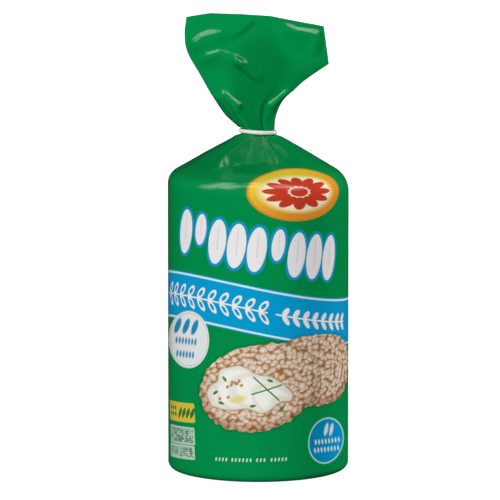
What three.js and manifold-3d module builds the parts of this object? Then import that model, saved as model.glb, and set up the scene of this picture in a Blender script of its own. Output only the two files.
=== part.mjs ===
// A film bag round a stack of puffed rice cakes, standing on its base and tied at the neck.
// Millimetres, +Z up, front towards -Y. The origin is the middle of the base's flat underside.
//
// Two pieces: "bag", which is shut and solid up to its neck, with a flattened, gusseted fan of
// film above, open at the top; and "tie", a coated wire round the neck, its ends twisted together
// behind. Angles run round the bag from its front, positive towards +X.
import * as THREE from "three";
import Module from "manifold-3d";
import { mergeVertices } from "three/addons/utils/BufferGeometryUtils.js";

const { clamp, degToRad, lerp, smoothstep } = THREE.MathUtils;

// ---- driving dimensions -----------------------------------------------------------------------
const BODY_RADIUS = 50; // film round cakes of about 97 mm
const BASE_EDGE_RADIUS = 4.2; // the lowest cake's edge, seen through the film
const WALL_TOP = { left: 159.5, right: 155 }; // where the wall starts to turn in over the top cake
const SHOULDER_ROUNDING = { left: 8.5, right: 14 };

const TIE_HEIGHT = 188.3;
const TIE_RISE_LEFT = 0.06; // the tie's plane rises this much per millimetre to the left
const TIE_RISE_FRONT = 0.055; // and this much to the front
const TIE_TILT_REACH = { under: 3, over: 7 }; // how far under and over the tie the film follows its tilt
const NECK_RADIUS = 8.9; // film inside the tie
const COLLAR_RADIUS = 13; // where the shoulder's slope ends under the tie
const COLLAR_GAP = 2.8; // from there up to the tie's middle
const WAIST_HALF_HEIGHT = 1.15; // of the film inside the tie

const TIE_CLEARANCE = 0.35;
const TIE_HALF_THICKNESS = 0.75;
const TIE_HALF_HEIGHT = 1.1;
const TWIST = { length: 11, turns: 2, halfWidth: 1.5, halfThickness: 0.8, droop: degToRad(8) };

// A heat seal runs down the back.
const SEAM_HALF_ANGLE = degToRad(7.5);
const SEAM_HEIGHT = 0.8;

// The fan's side creases, as [x, z] from just over the tie up to the mouth.
const LEFT_CREASE = [[-11.3, 190.3], [-17.7, 196.6], [-22.6, 203.7], [-31.6, 219.4], [-39.4, 233.8], [-40.6, 243], [-39.6, 252.1]];
const RIGHT_CREASE = [[9, 189.9], [9.6, 196], [13.4, 205], [20.3, 212.3], [25.6, 217], [38.9, 226.2]];
const RIGHT_CREASE_TOP = [36.1, 246.9]; // the right crease turns sharply and runs straight up to here
// The mouth's front lip over the line between its corners, as [place across, rise].
const LIP_RISE = [[-1, 0], [-0.66, 3.3], [-0.23, 4.2], [0.22, 4.3], [1, 0]];
const BACK_LIP_DROP = 4;
const FAN_LEAN = 2.5; // how far back the mouth leans
const NECK_HALF_DEPTH = 10.4; // of the fan's foot
const MOUTH_HALF_DEPTH = 11; // at the middle of the mouth
const CREASE_HALF_DEPTH = 4.6; // half the distance between the front and back creases, at the mouth
const CREASE_ANGLE = degToRad(48.75); // the film's share that lies in half of the front panel
const GUSSET_REACH = 0.55; // how far each side tucks in, as a share of the half width
const PANEL_THICKNESS = 0.8; // several layers of film as one
const THROAT_SHARE = 0.3; // how far up the fan the open mouth starts, as a share of its height

// Folds that run out from the neck: [angle in degrees, height, half width in degrees].
const FOLDS = [
  [-101, 1.7, 12], [-72, 0.9, 7], [-39, 2.1, 9], [-6, 0.5, 7], [27, 1.9, 8], [57, 1, 9], [97, 0.8, 11],
  [128, 1.5, 9], [157, 1.9, 10], [196, 1.6, 9], [231, 1.4, 8],
];
const FOLD_FLOOR = -0.45; // the film between folds lies this much under the plain slope
// Creases pressed into the fan's panels, as [x, z] of their two ends, with height and half width.
const PRESSED = [
  { from: [-25, 234.5], to: [-4, 227], height: 1.3, halfWidth: 4 },
  { from: [-19, 213], to: [-7.5, 204], height: 1.1, halfWidth: 3 },
  { from: [15.6, 213], to: [5, 204], height: 1.1, halfWidth: 3 },
  { from: [-37, 239], to: [-22, 245], height: 1.1, halfWidth: 4 },
  { from: [-18, 236.5], to: [-3, 250], height: -1.3, halfWidth: 4 },
  { from: [21, 246.5], to: [34.5, 243], height: 0.9, halfWidth: 4 },
];

// ---- how finely the surfaces are divided -----------------------------------------------------
const COLUMNS = 96; // a multiple of 48, so that a column runs along each crease
const BASE_EDGE_STEPS = 4;
const ROUNDING_STEPS = 5;
const SLOPE_STEPS = 9;
const FAN_STEPS_BELOW_CORNER = 17;
const FAN_STEPS_ABOVE_CORNER = 6;
const THROAT_STEPS = 7;
const TIE_STEPS = 56;
const TIE_SIDES = 12;
const TWIST_STEPS = 22;

const ANGLES = Array.from({ length: COLUMNS }, (_, i) => (i / COLUMNS) * 2 * Math.PI - Math.PI);

// ---- folds, creases and the tie's tilt -------------------------------------------------------

/** The turn from angle a to angle b, from -pi to pi. */
function turn(a, b) {
  return Math.atan2(Math.sin(b - a), Math.cos(b - a));
}

/** Height of the gathered folds at an angle round the bag, over the plain surface. */
function foldHeight(angle) {
  let height = FOLD_FLOOR;
  for (const [degrees, crest, halfWidth] of FOLDS) {
    const off = turn(degToRad(degrees), angle) / degToRad(halfWidth);
    height += crest / (1 + off * off) ** 1.5;
  }
  return height;
}

const HIGHEST_FOLD = Math.max(...ANGLES.map(foldHeight));

/** How far the back seal stands out from the wall. */
function seamHeight(angle, height) {
  const across = 1 - smoothstep(Math.abs(turn(Math.PI, angle)), SEAM_HALF_ANGLE * 0.7, SEAM_HALF_ANGLE);
  const low = smoothstep(height, BASE_EDGE_RADIUS, 2 * BASE_EDGE_RADIUS);
  const high = 1 - smoothstep(height, WALL_TOP.right - 6, WALL_TOP.right + 6);
  return SEAM_HEIGHT * across * low * high;
}

/** Height of the creases pressed into a panel of the fan, at [x, z]. */
function pressedHeight(x, z) {
  let total = 0;
  for (const { from, to, height, halfWidth } of PRESSED) {
    const run = new THREE.Vector2(to[0] - from[0], to[1] - from[1]);
    const offset = new THREE.Vector2(x - from[0], z - from[1]);
    const along = clamp(offset.dot(run) / run.lengthSq(), 0, 1);
    const away = offset.addScaledVector(run, -along).length() / halfWidth;
    total += height * Math.exp(-away * away);
  }
  return total;
}

/** How much the tie's plane stands over TIE_HEIGHT at (x, y). */
function tieRise(x, y) {
  return -TIE_RISE_LEFT * x - TIE_RISE_FRONT * y;
}

/** Tilts a point near the neck along with the tie. */
function tilted(point) {
  const away = (point.z - TIE_HEIGHT) / (point.z < TIE_HEIGHT ? TIE_TILT_REACH.under : TIE_TILT_REACH.over);
  point.z += tieRise(point.x, point.y) * Math.exp(-away * away);
  return point;
}

// ---- the bag below the tie -------------------------------------------------------------------

/** The outline at an angle, from near the base's middle to the collar under the tie: [radius, height, share of the folds]. */
function bodyOutline(angle) {
  const rightness = (1 + Math.sin(angle)) / 2;
  const wallTop = lerp(WALL_TOP.left, WALL_TOP.right, rightness);
  const rounding = lerp(SHOULDER_ROUNDING.left, SHOULDER_ROUNDING.right, rightness);
  const outline = [[BODY_RADIUS / 2, 0, 0]];
  for (let i = 0; i <= BASE_EDGE_STEPS; i++) {
    const a = (i / BASE_EDGE_STEPS) * (Math.PI / 2);
    outline.push([BODY_RADIUS - BASE_EDGE_RADIUS * (1 - Math.sin(a)), BASE_EDGE_RADIUS * (1 - Math.cos(a)), 0]);
  }
  outline.push([BODY_RADIUS, wallTop / 2, 0]);

  // The slope is straight, from the rounding, which it touches, up to the collar.
  const collarHeight = TIE_HEIGHT - COLLAR_GAP;
  const [run, rise] = [BODY_RADIUS - rounding - COLLAR_RADIUS, collarHeight - wallTop];
  const slope = Math.acos(rounding / Math.hypot(run, rise)) - Math.atan2(run, rise);
  const turnIn = Math.PI / 2 - slope;
  for (let i = 0; i <= ROUNDING_STEPS; i++) {
    const a = (i / ROUNDING_STEPS) * turnIn;
    const share = 0.2 * (i / ROUNDING_STEPS) ** 2;
    outline.push([BODY_RADIUS - rounding * (1 - Math.cos(a)), wallTop + rounding * Math.sin(a), share]);
  }
  const [startRadius, startHeight] = outline.at(-1);
  for (let i = 1; i <= SLOPE_STEPS; i++) {
    const up = i / SLOPE_STEPS;
    const folds = lerp(0.2, 1, smoothstep(up, 0, 0.55)) * (1 - smoothstep(up, 0.7, 1));
    outline.push([lerp(startRadius, COLLAR_RADIUS, up), lerp(startHeight, collarHeight, up), folds]);
  }
  return outline;
}

/** The rings of points from the base to the collar, pushed out by the folds and the seal. */
function bodyRings() {
  const columns = ANGLES.map((angle) => {
    const outline = bodyOutline(angle);
    return outline.map(([radius, height, folds], i) => {
      const [before, after] = [outline[Math.max(i - 1, 0)], outline[Math.min(i + 1, outline.length - 1)]];
      const along = new THREE.Vector2(after[0] - before[0], after[1] - before[1]).normalize();
      const push = folds * foldHeight(angle) + seamHeight(angle, height);
      const r = radius + push * along.y;
      return tilted(new THREE.Vector3(r * Math.sin(angle), -r * Math.cos(angle), height - push * along.x));
    });
  });
  return columns[0].map((_, i) => columns.map((column) => column[i]));
}

/** A ring of film inside the tie, its pleats pressed inwards. */
function waistRing(height) {
  return ANGLES.map((angle) => {
    const r = NECK_RADIUS + 0.2 * (foldHeight(angle) - HIGHEST_FOLD);
    return tilted(new THREE.Vector3(r * Math.sin(angle), -r * Math.cos(angle), height));
  });
}

// ---- the fan above the tie -------------------------------------------------------------------

function creaseCurve(points) {
  return new THREE.CatmullRomCurve3(points.map(([x, z]) => new THREE.Vector3(x, 0, z)), false, "centripetal");
}

const leftCrease = creaseCurve(LEFT_CREASE);
const rightCrease = new THREE.CurvePath();
rightCrease.add(creaseCurve(RIGHT_CREASE));
const rightCorner = new THREE.Vector3(RIGHT_CREASE.at(-1)[0], 0, RIGHT_CREASE.at(-1)[1]);
rightCrease.add(new THREE.LineCurve3(rightCorner, new THREE.Vector3(RIGHT_CREASE_TOP[0], 0, RIGHT_CREASE_TOP[1])));
const CORNER_SHARE = rightCrease.curves[0].getLength() / rightCrease.getLength();

/** The front lip's rise over the line between its corners, at a place across from -1 to 1. */
function lipRise(across) {
  const next = LIP_RISE.findIndex(([place], i) => i > 0 && (place >= across || i === LIP_RISE.length - 1));
  const [[a, low], [b, high]] = [LIP_RISE[next - 1], LIP_RISE[next]];
  return lerp(low, high, (across - a) / (b - a));
}

/** The gusseted section at an angle, as [across, deep], each from -1 to 1. */
function gussetedSection(angle, reach, creaseDepth) {
  const side = Math.sign(angle);
  const fromFront = Math.abs(angle);
  const fromBack = Math.PI - fromFront;
  const nearest = Math.min(fromFront, fromBack);
  if (nearest <= CREASE_ANGLE) {
    const across = nearest / CREASE_ANGLE;
    const depth = lerp(1, creaseDepth, across * across);
    return [side * across, fromFront < fromBack ? -depth : depth];
  }
  const round = (fromFront - CREASE_ANGLE) / (Math.PI - 2 * CREASE_ANGLE);
  const tucked = 1 - Math.abs(2 * round - 1);
  return [side * (1 - reach * tucked), creaseDepth * (2 * round - 1)];
}

/**
 * A ring of the fan, at share 0 over the tie and 1 at the mouth. Outside, inset is 0 and shrink 1;
 * inside the mouth, inset is the panels' thickness, and shrink narrows the ring towards the throat.
 */
function fanRing(share, inset = 0, shrink = 1) {
  const left = leftCrease.getPointAt(share);
  const right = rightCrease.getPointAt(share);
  const middle = left.clone().lerp(right, 0.5);
  const towardsRight = right.clone().sub(left).normalize();
  const halfWidth = left.distanceTo(right) / 2 - 3 * inset;
  const halfDepth = lerp(NECK_HALF_DEPTH, MOUTH_HALF_DEPTH, smoothstep(share, 0, 0.7)) - inset;
  const flatness = smoothstep(share, 0, 0.55);
  const reach = GUSSET_REACH * smoothstep(share, 0.05, 0.8) + (3.7 * inset) / halfWidth;
  const section = ANGLES.map((angle) => {
    const [across, deep] = gussetedSection(angle, reach, CREASE_HALF_DEPTH / halfDepth);
    return [lerp(Math.sin(angle), across, flatness), lerp(-Math.cos(angle), deep, flatness)];
  });
  const widest = Math.max(...section.map(([across]) => across));
  const pleats = 0.5 * (1 - smoothstep(share, 0.1, 0.6));
  const mouthward = share ** 3;
  return ANGLES.map((angle, i) => {
    const across = (shrink * section[i][0]) / widest;
    const deep = shrink * section[i][1];
    const point = middle.clone().addScaledVector(towardsRight, across * halfWidth);
    point.z += mouthward * (lipRise(across) - BACK_LIP_DROP * smoothstep(deep, -0.6, 0.8));
    const pleat = shrink * pleats * (foldHeight(angle) - HIGHEST_FOLD) * Math.abs(Math.cos(angle));
    const pressed = pressedHeight(deep < 0 ? point.x : -point.x, point.z) * smoothstep(Math.abs(deep), 0.3, 0.8);
    point.y = FAN_LEAN * share ** 2 + deep * halfDepth + Math.sign(deep) * (pleat + pressed);
    return tilted(point);
  });
}

function fanRings() {
  const rings = [];
  for (let i = 0; i < FAN_STEPS_BELOW_CORNER; i++) {
    rings.push(fanRing(CORNER_SHARE * (i / FAN_STEPS_BELOW_CORNER) ** 1.2)); // closer together near the tie
  }
  for (let i = 0; i <= FAN_STEPS_ABOVE_CORNER; i++) {
    rings.push(fanRing(lerp(CORNER_SHARE, 1, i / FAN_STEPS_ABOVE_CORNER)));
  }
  for (let i = 0; i <= THROAT_STEPS; i++) {
    const down = i / THROAT_STEPS;
    rings.push(fanRing(lerp(1, THROAT_SHARE, down), PANEL_THICKNESS * (1 + down), lerp(1, 0.15, down ** 2)));
  }
  return rings;
}

// ---- meshes from rings -----------------------------------------------------------------------

function middleOf(ring) {
  return ring.reduce((sum, point) => sum.add(point), new THREE.Vector3()).divideScalar(ring.length);
}

/** A closed mesh over rings of equal length, each end closed round its middle point. */
function skin(rings) {
  const count = rings[0].length;
  const points = [middleOf(rings[0]), ...rings.flat(), middleOf(rings.at(-1))];
  const at = (ring, column) => 1 + ring * count + (column % count);
  const index = [];
  for (let c = 0; c < count; c++) {
    index.push(0, at(0, c + 1), at(0, c));
    for (let r = 0; r < rings.length - 1; r++) {
      index.push(at(r, c), at(r, c + 1), at(r + 1, c + 1));
      index.push(at(r, c), at(r + 1, c + 1), at(r + 1, c));
    }
    index.push(points.length - 1, at(rings.length - 1, c), at(rings.length - 1, c + 1));
  }
  return new THREE.BufferGeometry().setFromPoints(points).setIndex(index);
}

function bagGeometry() {
  const waist = [waistRing(TIE_HEIGHT - WAIST_HALF_HEIGHT), waistRing(TIE_HEIGHT + WAIST_HALF_HEIGHT)];
  const geometry = skin([...bodyRings(), ...waist, ...fanRings()]);
  geometry.computeVertexNormals();
  return geometry;
}

// ---- the tie ---------------------------------------------------------------------------------

/** Points of an oval round a centre, with its two half axes given as vectors. */
function oval(centre, axisA, axisB) {
  return Array.from({ length: TIE_SIDES }, (_, i) => {
    const a = (i / TIE_SIDES) * 2 * Math.PI;
    return centre.clone().addScaledVector(axisA, Math.cos(a)).addScaledVector(axisB, Math.sin(a));
  });
}

/** The loop round the neck, an endless tube in the tie's tilted plane. */
function loopGeometry() {
  const radius = NECK_RADIUS + TIE_CLEARANCE + TIE_HALF_THICKNESS;
  const rings = Array.from({ length: TIE_STEPS }, (_, i) => {
    const a = (i / TIE_STEPS) * 2 * Math.PI;
    const out = new THREE.Vector3(Math.sin(a), -Math.cos(a), 0);
    const centre = out.clone().multiplyScalar(radius);
    centre.z = TIE_HEIGHT + tieRise(centre.x, centre.y);
    return oval(centre, out.multiplyScalar(TIE_HALF_THICKNESS), new THREE.Vector3(0, 0, TIE_HALF_HEIGHT));
  });
  const at = (ring, side) => (ring % TIE_STEPS) * TIE_SIDES + (side % TIE_SIDES);
  const index = [];
  for (let r = 0; r < TIE_STEPS; r++) {
    for (let s = 0; s < TIE_SIDES; s++) {
      index.push(at(r, s), at(r + 1, s + 1), at(r, s + 1));
      index.push(at(r, s), at(r + 1, s), at(r + 1, s + 1));
    }
  }
  return new THREE.BufferGeometry().setFromPoints(rings.flat()).setIndex(index);
}

/** The two ends behind the neck, as one flat bar that turns as it goes. */
function twistGeometry() {
  const start = new THREE.Vector3(0, NECK_RADIUS + TIE_CLEARANCE + TIE_HALF_THICKNESS, 0);
  start.z = TIE_HEIGHT + tieRise(start.x, start.y);
  const axis = new THREE.Vector3(0, Math.cos(TWIST.droop), -Math.sin(TWIST.droop));
  const side = new THREE.Vector3(1, 0, 0);
  const up = new THREE.Vector3().crossVectors(side, axis);
  const rings = [];
  for (let i = 0; i <= TWIST_STEPS; i++) {
    const a = (i / TWIST_STEPS) * TWIST.turns * 2 * Math.PI;
    const wide = side.clone().multiplyScalar(Math.cos(a)).addScaledVector(up, Math.sin(a));
    const narrow = up.clone().multiplyScalar(Math.cos(a)).addScaledVector(side, -Math.sin(a));
    const centre = start.clone().addScaledVector(axis, (i / TWIST_STEPS) * TWIST.length);
    rings.push(oval(centre, wide.multiplyScalar(-TWIST.halfWidth), narrow.multiplyScalar(TWIST.halfThickness)));
  }
  return skin(rings);
}

/** A closed geometry as a manifold solid. */
function solidOf(geometry) {
  const merged = mergeVertices(geometry, 1e-4);
  const vertProperties = merged.attributes.position.array;
  return new wasm.Manifold(new wasm.Mesh({ numProp: 3, vertProperties, triVerts: new Uint32Array(merged.index.array) }));
}

function tieGeometry() {
  const mesh = solidOf(loopGeometry()).add(solidOf(twistGeometry())).getMesh();
  const geometry = new THREE.BufferGeometry();
  geometry.setAttribute("position", new THREE.BufferAttribute(new Float32Array(mesh.vertProperties), 3));
  geometry.setIndex(new THREE.BufferAttribute(new Uint32Array(mesh.triVerts), 1));
  geometry.computeVertexNormals();
  return geometry;
}

// ---- the part --------------------------------------------------------------------------------
const wasm = await Module();
wasm.setup();

const printedFilm = new THREE.MeshStandardMaterial({ color: 0x00883f, roughness: 0.35, metalness: 0 });
const bag = new THREE.Mesh(bagGeometry(), printedFilm);
bag.name = "bag";

const coatedWire = new THREE.MeshStandardMaterial({ color: 0xe9ece8, roughness: 0.4, metalness: 0 });
const tie = new THREE.Mesh(tieGeometry(), coatedWire);
tie.name = "tie";

const part = new THREE.Group();
part.add(bag, tie);

export default part;
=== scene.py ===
"""A film bag round a stack of puffed rice cakes, standing on its base and tied at the neck.

The film and the tie are laid out in millimetres, in the frame's own axes: +Z up, front towards
-Y, the origin in the middle of the base. Angles run round the bag from its front, positive
towards +X.
"""

import math

import bpy
import numpy as np
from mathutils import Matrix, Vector


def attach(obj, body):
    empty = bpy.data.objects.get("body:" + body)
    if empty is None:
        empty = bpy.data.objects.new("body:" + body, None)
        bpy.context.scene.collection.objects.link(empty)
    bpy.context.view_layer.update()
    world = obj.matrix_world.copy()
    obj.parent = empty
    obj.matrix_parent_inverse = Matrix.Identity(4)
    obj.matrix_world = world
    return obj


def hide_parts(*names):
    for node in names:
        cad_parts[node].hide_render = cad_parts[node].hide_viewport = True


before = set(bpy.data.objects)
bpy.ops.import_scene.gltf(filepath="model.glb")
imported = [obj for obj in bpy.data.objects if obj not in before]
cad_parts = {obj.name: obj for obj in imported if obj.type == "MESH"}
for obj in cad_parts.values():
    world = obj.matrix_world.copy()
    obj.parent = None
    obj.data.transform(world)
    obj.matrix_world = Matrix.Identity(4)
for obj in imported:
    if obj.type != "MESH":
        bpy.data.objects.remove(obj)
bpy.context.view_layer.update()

MM = 0.001

# ---- the bag's sizes, as in the solid ----
BODY_RADIUS = 50.0
BASE_EDGE_RADIUS = 4.2
WALL_TOP_LEFT, WALL_TOP_RIGHT = 159.5, 155.0
ROUNDING_LEFT, ROUNDING_RIGHT = 8.5, 14.0
TIE_HEIGHT = 188.3
TIE_RISE_LEFT, TIE_RISE_FRONT = 0.06, 0.055
TILT_REACH_UNDER, TILT_REACH_OVER = 3.0, 7.0
NECK_RADIUS = 8.9
COLLAR_RADIUS = 13.0
COLLAR_GAP = 2.8
WAIST_HALF_HEIGHT = 1.15
LEFT_CREASE = [
    (-11.3, 190.3), (-17.7, 196.6), (-22.6, 203.7), (-31.6, 219.4), (-39.4, 233.8), (-40.6, 243),
    (-39.6, 252.1),
]
RIGHT_CREASE = [(9, 189.9), (9.6, 196), (13.4, 205), (20.3, 212.3), (25.6, 217), (38.9, 226.2)]
RIGHT_CREASE_TOP = (36.1, 246.9)
LIP_RISE = [(-1, 0), (-0.66, 3.3), (-0.23, 4.2), (0.22, 4.3), (1, 0)]
BACK_LIP_DROP = 4.0
FAN_LEAN = 2.5
NECK_HALF_DEPTH, MOUTH_HALF_DEPTH, CREASE_HALF_DEPTH = 10.4, 11.0, 4.6
CREASE_ANGLE = math.radians(48.75)
GUSSET_REACH = 0.55
THROAT_SHARE = 0.3

# ---- what the film adds to the solid ----
FILM_THICKNESS = 0.3  # as drawn at the mouth; the real film is 0.04
# The folds that run out from the neck: height at each angle round the bag. FOLD_SQUEEZE draws them
# together near the tie.
FOLDS = [
    (-176, 0.4), (-166, 1.2), (-159, -0.3), (-150, -0.7), (-138, 0.2), (-131, 0.1), (-124, -0.2),
    (-112, -0.1), (-104, 0.2), (-97, 0.1), (-88, -0.1), (-74, 0.3), (-66, 0.1), (-56, -0.2), (-47, -0.4),
    (-43.5, -0.3), (-41, 1.2), (-39, 2.4), (-36.5, 2.6), (-32, 1.7), (-28.5, 0.8), (-24, -0.8),
    (-20, -2.0), (-16.5, -2.5), (-12, -2.4), (-4, -2.1), (4, -1.8), (10, -1.4), (14, -0.5), (17.5, 0.7),
    (20.5, 1.6), (22.5, 1.6), (25.5, 0.3), (28.5, -1.3), (32, -1.8), (37, -1.3), (46, -0.3), (56, 0.3),
    (64, 0.1), (73, -0.2), (84, -0.1), (92, 0.1), (99, 0.1), (109, -0.1), (120, 0), (127, 0.1), (134, 0),
    (145, -0.5), (155, 1.1), (163, 0.4), (173, -0.4),
]
FOLD_SQUEEZE = math.radians(14)
# Narrow pleats that show near the tie alone: degrees, height, half width in degrees.
SMALL_PLEATS = [(-164, 0.4, 3), (-143, 0.4, 3.5), (143, 0.4, 3), (175, 0.4, 4)]
BASE_PLEATS, BASE_PLEAT_HEIGHT = 12, 0.8  # the film is folded over itself under the stack
# Creases in the fan's panels: points (x, z), height, and how far the film beside each takes to rise
# and to sink again. It rises to the right of the way the points run.
CREASES = [
    ([(-37, 228.6), (-29, 233.4), (-21, 236), (-12.6, 233.2), (-6.5, 229.2), (-2.4, 226)], 2.9, 4.4, 8),
    ([(2, 214.5), (-4.5, 218.9), (-10.5, 224.0), (-16.5, 228.0)], 2.8, 5, 5),
    ([(-17.4, 240.6), (-10.8, 244.1), (-5.6, 248.2), (-1.6, 252.4)], -2.3, 4, 6.5),
    ([(-41, 233.5), (-36.6, 240), (-32.6, 243.6), (-28.4, 245.3), (-23.5, 246.2), (-15, 246)],
     2.6, 4.4, 11),
    ([(8, 253), (15, 250.2), (22, 247.4), (30, 246), (34.6, 244.6), (35.6, 240.5), (35.2, 234),
      (33.8, 227)], 2.5, 4.6, 9),
    ([(-19.8, 214.4), (-13.4, 208.4), (-6.2, 203.6)], 2.55, 3.8, 8),
    ([(2.6, 203.6), (9.8, 208.4), (17.2, 215.2)], 3.0, 3.8, 8),
]
CREASE_TAPER = 0.25  # the share of its length over which each end of a crease dies out


def srgb(code):
    """A colour's sRGB hex code as linear red, green, blue and alpha."""
    parts = [int(code[i : i + 2], 16) / 255 for i in (0, 2, 4)]
    return tuple(c / 12.92 if c <= 0.04045 else ((c + 0.055) / 1.055) ** 2.4 for c in parts) + (1.0,)


def smooth(x, low, high):
    t = np.clip((x - low) / (high - low), 0, 1)
    return t * t * (3 - 2 * t)


def mix(a, b, t):
    return a + (b - a) * t


def hermite(a, b, start, end, t):
    """A place on the smooth curve from a to b that leaves with the slope start and arrives with end."""
    return (
        (2 * t**3 - 3 * t**2 + 1) * a + (t**3 - 2 * t**2 + t) * start
        + (3 * t**2 - 2 * t**3) * b + (t**3 - t**2) * end
    )


# ---- columns of film round the bag ----
def column_angles():
    """Angles of the film's columns, closest together in front, with one on each of the fan's creases."""
    back, side = math.pi - CREASE_ANGLE, CREASE_ANGLE
    spans = [
        (-math.pi, -back, 28), (-back, -side, 56), (-side, side, 152), (side, back, 56),
        (back, math.pi, 28),
    ]
    return np.concatenate([np.linspace(a, b, n, endpoint=False) for a, b, n in spans])


ANGLES = column_angles()
SIN, COS = np.sin(ANGLES), np.cos(ANGLES)


def turn_from(degrees):
    """Each column's turn from an angle, in degrees from -180 to 180."""
    return (np.degrees(ANGLES) - degrees + 180) % 360 - 180


def fold_heights(angles):
    """Height of the folds at each angle, on a smooth curve through FOLDS that closes round the bag."""
    at, height = np.array([*FOLDS[-2:], *FOLDS, *FOLDS[:3]], float).T
    at[:2] -= 360
    at[-3:] += 360
    slope = (height[2:] - height[:-2]) / (at[2:] - at[:-2])
    degrees = (np.degrees(angles) + 176) % 360 - 176
    i = np.clip(np.searchsorted(at, degrees) - 1, 1, len(at) - 3)
    gap = at[i + 1] - at[i]
    t = (degrees - at[i]) / gap
    return hermite(height[i], height[i + 1], slope[i - 1] * gap, slope[i] * gap, t)


FOLD = fold_heights(ANGLES + FOLD_SQUEEZE * SIN)
PLEAT = sum(crest * np.exp(-((turn_from(at) / width) ** 2)) for at, crest, width in SMALL_PLEATS)


def tilt(points):
    """Tilts a ring near the neck along with the tie."""
    away = points[:, 2] - TIE_HEIGHT
    away = away / np.where(away < 0, TILT_REACH_UNDER, TILT_REACH_OVER)
    points[:, 2] += (-TIE_RISE_LEFT * points[:, 0] - TIE_RISE_FRONT * points[:, 1]) * np.exp(-(away**2))
    return points


# ---- the bag below the tie ----
BASE_STEPS, EDGE_STEPS, WALL_STEPS, ROUNDING_STEPS, SLOPE_STEPS = 14, 8, 30, 16, 46


def body_outline():
    """Each column's outline from the base to the collar: radius, height, folds' and pleats' share."""
    rightness = (1 + SIN) / 2
    wall_top = mix(WALL_TOP_LEFT, WALL_TOP_RIGHT, rightness)
    rounding = mix(ROUNDING_LEFT, ROUNDING_RIGHT, rightness)
    same, none = np.ones(len(ANGLES)), np.zeros(len(ANGLES))
    first_folds, last_folds = 0.03, 0.25  # the folds' share where the slope begins and ends
    rows = []
    for i in range(BASE_STEPS):
        out = (0.04 + 0.96 * i / BASE_STEPS) * (BODY_RADIUS - BASE_EDGE_RADIUS)
        rows.append((same * out, none, none, none))
    for i in range(EDGE_STEPS + 1):
        a = i / EDGE_STEPS * math.pi / 2
        out = BODY_RADIUS - BASE_EDGE_RADIUS * (1 - math.sin(a))
        rows.append((same * out, same * BASE_EDGE_RADIUS * (1 - math.cos(a)), none, none))
    for i in range(1, WALL_STEPS):
        rows.append((same * BODY_RADIUS, mix(BASE_EDGE_RADIUS, wall_top, i / WALL_STEPS), none, none))

    collar_height = TIE_HEIGHT - COLLAR_GAP
    run, rise = BODY_RADIUS - rounding - COLLAR_RADIUS, collar_height - wall_top
    turn_in = math.pi / 2 - np.arccos(rounding / np.hypot(run, rise)) + np.arctan2(run, rise)
    for i in range(ROUNDING_STEPS + 1):
        share = i / ROUNDING_STEPS
        a = share * turn_in
        radius = BODY_RADIUS - rounding * (1 - np.cos(a))
        rows.append((radius, wall_top + rounding * np.sin(a), first_folds * share**2 * same, none))
    start_radius, start_height = rows[-1][:2]
    folds_start = mix(0.1, 0.22, smooth(SIN, 0, 0.4))
    for i in range(1, SLOPE_STEPS + 1):
        up = i / SLOPE_STEPS
        folds = mix(first_folds, 1, smooth(up, folds_start, folds_start + 0.4))
        folds = folds * mix(1, last_folds, max(0, 2 * up - 1))
        pleats = smooth(up, 0.35, 0.75) * (1 - smooth(up, 0.85, 1))
        radius, height = mix(start_radius, COLLAR_RADIUS, up), mix(start_height, collar_height, up)
        rows.append((radius, height, folds, pleats * same))
    return rows


def body_rings():
    """Rings of points from the base to the collar, and each point's place along the film.

    On the wall that place is the height.
    """
    radius, height, folds, pleats = (np.array(part) for part in zip(*body_outline()))
    steps = np.hypot(np.diff(radius, axis=0), np.diff(height, axis=0))
    along = np.concatenate([[0 * ANGLES], np.cumsum(steps, axis=0)])
    along += BASE_EDGE_RADIUS - along[BASE_STEPS + EDGE_STEPS]
    slope_r, slope_z = np.gradient(radius, axis=0), np.gradient(height, axis=0)
    length = np.hypot(slope_r, slope_z) + 1e-9
    squeeze = FOLD_SQUEEZE * SIN * (1 - smooth(radius, COLLAR_RADIUS, 2 * COLLAR_RADIUS))
    push = folds * fold_heights(ANGLES + squeeze) + pleats * PLEAT
    r = radius + push * slope_z / length
    z = height - push * slope_r / length
    overlap = (ANGLES / (2 * math.pi) * BASE_PLEATS + radius / 30) % 1
    overlap = overlap * smooth(radius, 2, 14) * (1 - smooth(radius, 32, 44)) * (height <= 0)
    z += BASE_PLEAT_HEIGHT * overlap
    rings = [tilt(np.stack([ri * SIN, -ri * COS, zi], 1)) for ri, zi in zip(r, z)]
    return rings, list(along)


def waist_ring(height):
    r = NECK_RADIUS + 0.22 * (FOLD - FOLD.max()) + 0.3 * (PLEAT - PLEAT.max())
    return tilt(np.stack([r * SIN, -r * COS, np.full(len(ANGLES), height)], 1))


# ---- the fan above the tie ----
def slope_at(a, b, c, before, after):
    """The centripetal Catmull-Rom curve's slope at b, between a and c."""
    return (b - a) / before - (c - a) / (before + after) + (c - b) / after


def crease_curve(points, steps=24):
    """A smooth line through points, as many short steps."""
    points = np.array(points)
    p = [2 * points[0] - points[1], *points, 2 * points[-1] - points[-2]]
    line = []
    for i in range(1, len(p) - 2):
        gaps = [math.sqrt(math.dist(p[j], p[j + 1])) for j in (i - 1, i, i + 1)]
        start = slope_at(*p[i - 1 : i + 2], *gaps[:2]) * gaps[1]
        end = slope_at(*p[i : i + 3], *gaps[1:]) * gaps[1]
        line += [hermite(p[i], p[i + 1], start, end, t) for t in np.arange(steps) / steps]
    return np.array([*line, p[-2]])


def measured(line):
    """A line with each point's share of its length."""
    lengths = np.concatenate([[0], np.cumsum(np.hypot(*np.diff(line, axis=0).T))])
    return line, lengths / lengths[-1]


LEFT_LINE = measured(crease_curve(LEFT_CREASE))
RIGHT_LINE = measured(np.vstack([crease_curve(RIGHT_CREASE), RIGHT_CREASE_TOP]))
CORNER_SHARE = RIGHT_LINE[1][-2]


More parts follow.
